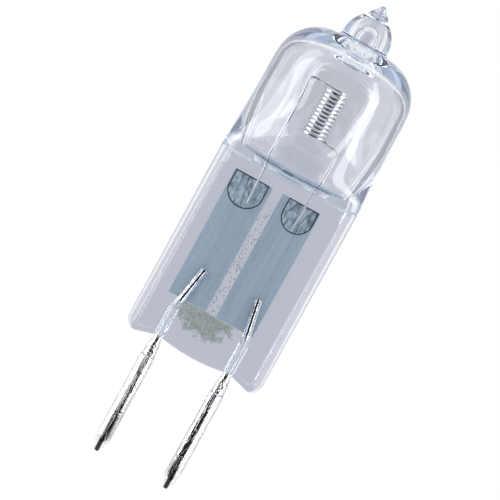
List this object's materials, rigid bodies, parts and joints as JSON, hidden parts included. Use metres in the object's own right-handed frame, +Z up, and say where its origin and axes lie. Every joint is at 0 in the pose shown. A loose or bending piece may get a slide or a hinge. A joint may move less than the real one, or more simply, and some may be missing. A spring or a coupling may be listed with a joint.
{
  "type": "halogen capsule bulb",
  "caption": "Two-pin quartz halogen capsule: clear bulb with a sealed exhaust tip, upright coil filament, flat pinch with sealing foils, round contact pins.",
  "frame": {"origin": "midway between the pins, in the plane where their full diameter begins", "axes": "+Z up the bulb's axis towards the exhaust tip, X through both pins across the pinch, -Y out of the pinch's front face"},
  "size_m": [0.0122, 0.0116, 0.0424],
  "materials": {
    "quartz": "clear, faintly grey-blue",
    "tungsten": "drawn wire",
    "foil": "etched, blue-grey",
    "tab": "dark, mottled",
    "lead": "drawn wire",
    "pin": "bright plated"
  },
  "bodies": {
    "root": {"quartz_envelope": "quartz", "filament": "tungsten", "left_foil": "foil", "right_foil": "foil", "left_weld_tab": "tab", "right_weld_tab": "tab", "left_lead": "lead", "right_lead": "lead", "left_pin": "pin", "right_pin": "pin"}
  },
  "joints": []
}
